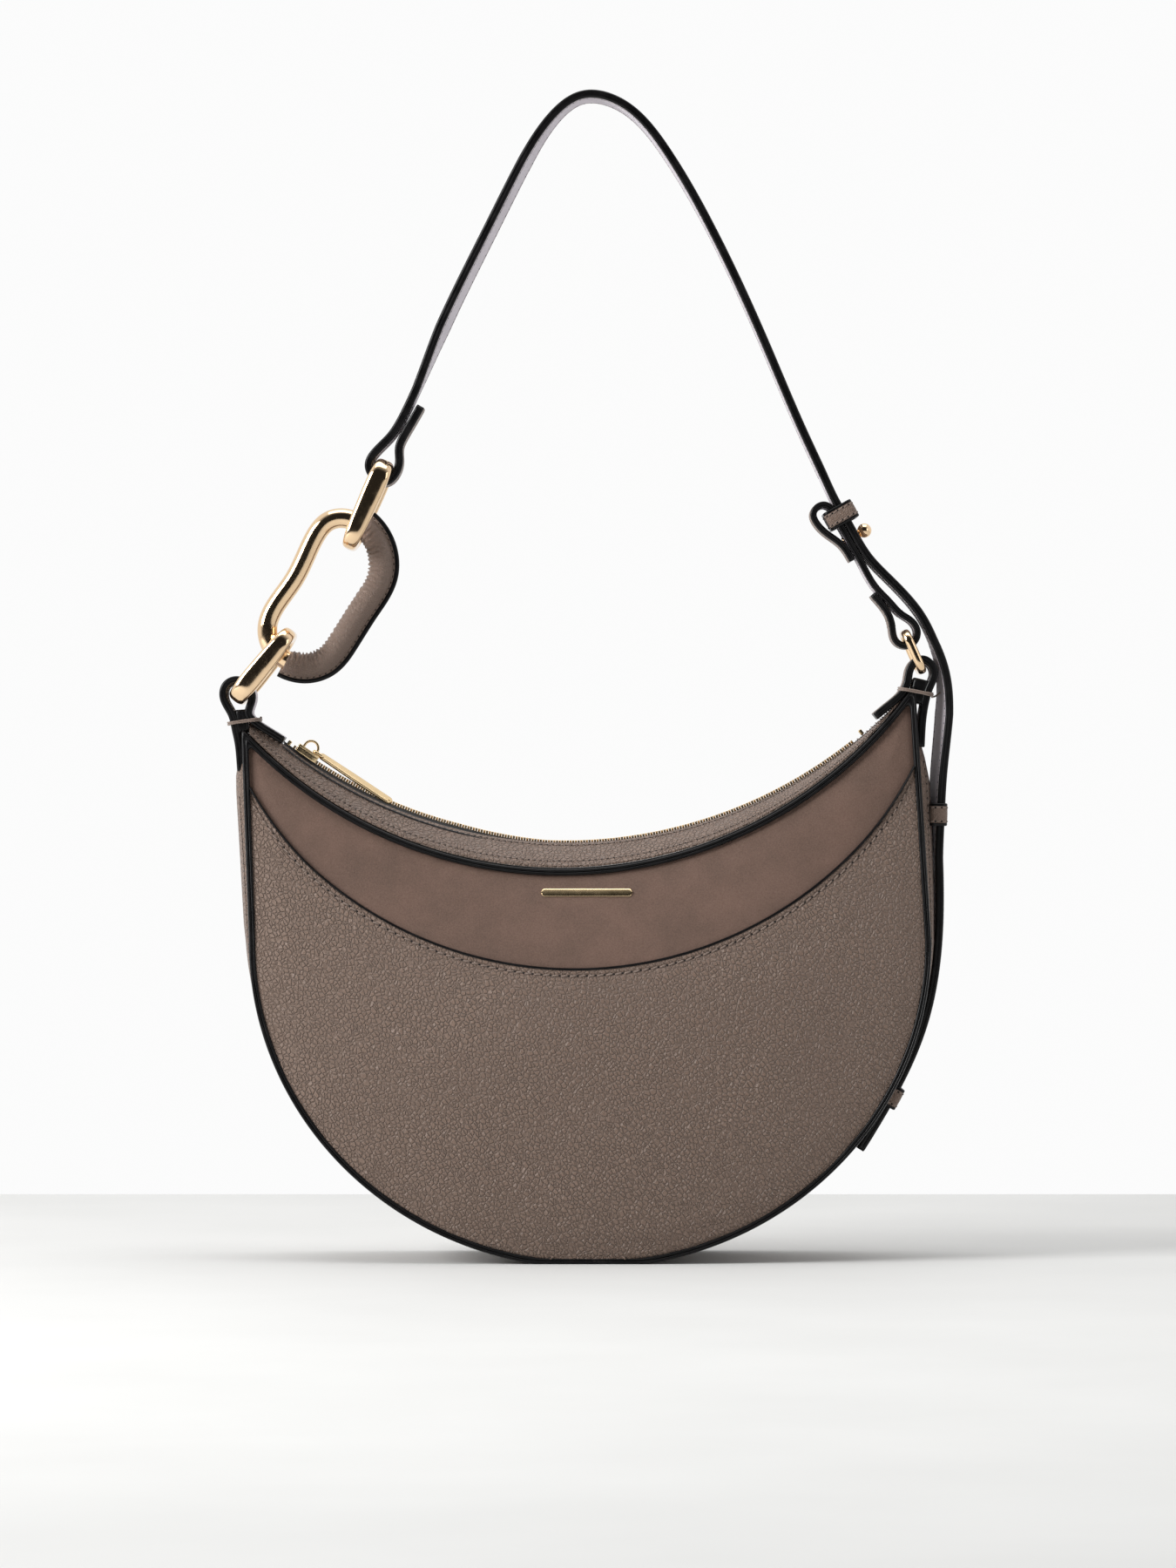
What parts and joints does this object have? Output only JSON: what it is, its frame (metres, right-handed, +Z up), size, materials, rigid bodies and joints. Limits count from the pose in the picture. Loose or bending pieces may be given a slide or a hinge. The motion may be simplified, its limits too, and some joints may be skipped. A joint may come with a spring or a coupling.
{
  "type": "hobo bag",
  "caption": "Crescent-shaped leather shoulder bag with a suede-like yoke, a curved top zip, side gusset and a chain-link shoulder strap.",
  "frame": {"origin": "middle of the flat base that the bag stands on, midway between the front and back panels", "axes": "+Z up, the front panel faces -Y, +X is to the right seen from the front, towards the strap's long tail"},
  "size_m": [0.3355, 0.0932, 0.5365],
  "materials": {
    "taupe_leather": "pebble-grained taupe leather with a soft sheen",
    "suede": "smooth suede-like taupe leather, slightly redder than the rest",
    "edge_paint": "raw leather edges sealed with glossy black edge paint",
    "lining_cloth": "plain woven cotton-type lining",
    "zip_tape": "woven black zip tape",
    "gold_metal": "polished light gold plating"
  },
  "bodies": {
    "bag": {"front_panel": "taupe_leather", "back_panel": "taupe_leather", "gusset": "taupe_leather", "front_facing": "taupe_leather", "back_facing": "taupe_leather", "upper_side_keeper": "taupe_leather", "lower_side_keeper": "taupe_leather", "left_link_tab": "taupe_leather", "right_ring_tab": "taupe_leather", "front_yoke": "suede", "front_rim": "edge_paint", "back_rim": "edge_paint", "lining": "lining_cloth", "inner_pocket": "lining_cloth", "front_zip_tape": "zip_tape", "back_zip_tape": "zip_tape", "emblem_bar": "gold_metal", "front_zip_teeth": "gold_metal", "back_zip_teeth": "gold_metal", "zip_top_stops": "gold_metal", "zip_bottom_stop": "gold_metal"},
    "slider": {"zip_slider": "gold_metal"},
    "pull": {"zip_pull": "gold_metal"},
    "handle": {"strap": "taupe_leather", "ring_strap": "taupe_leather", "stud_ball": "gold_metal", "stud_screw": "gold_metal"},
    "lower_chain_link": {"lower_link": "gold_metal"},
    "big_chain_link": {"big_link": "gold_metal", "big_link_sleeve": "taupe_leather"},
    "upper_chain_link": {"upper_link": "gold_metal"},
    "ring": {"oval_ring": "gold_metal"},
    "keeper": {"strap_keeper": "taupe_leather"}
  },
  "joints": [
    {"name": "zip_slide", "type": "hinge", "parent": "bag", "child": "slider", "pos_m": [-0.0101, 0, 0.4049], "axis": [0, -1, 0], "range_deg": [0, 72]},
    {"name": "zip_pull_lift", "type": "hinge", "parent": "slider", "child": "pull", "pos_m": [-0.12852, 0, 0.23451], "axis": [0, -1, 0], "range_deg": [0, 75]},
    {"name": "handle_swing", "type": "hinge", "parent": "bag", "child": "handle", "pos_m": [-0.1617, 0, 0.2585], "axis": [0.9993, 0, 0.0375], "range_deg": [-70, 70], "deforming": ["strap", "left_link_tab", "right_ring_tab"]},
    {"name": "lower_link_rock", "type": "hinge", "parent": "handle", "child": "lower_chain_link", "pos_m": [-0.1617, 0, 0.2585], "axis": [0, -1, 0], "range_deg": [-2, 1]},
    {"name": "big_link_turn", "type": "hinge", "parent": "handle", "child": "big_chain_link", "pos_m": [-0.1436, 0, 0.2792], "axis": [0.5587, 0, 0.8294], "range_deg": [-10, 10]},
    {"name": "upper_link_rock", "type": "hinge", "parent": "handle", "child": "upper_chain_link", "pos_m": [-0.0947, 0, 0.364], "axis": [0, -1, 0], "range_deg": [-2, 0.3]},
    {"name": "oval_ring_rock", "type": "hinge", "parent": "handle", "child": "ring", "pos_m": [0.1449, 0, 0.2872], "axis": [0, -1, 0], "range_deg": [-3.5, 3.5]},
    {"name": "keeper_slide", "type": "slide", "parent": "handle", "child": "keeper", "axis": [0.4879, 0, -0.8729], "range_m": [-0.001, 0.0025]}
  ]
}
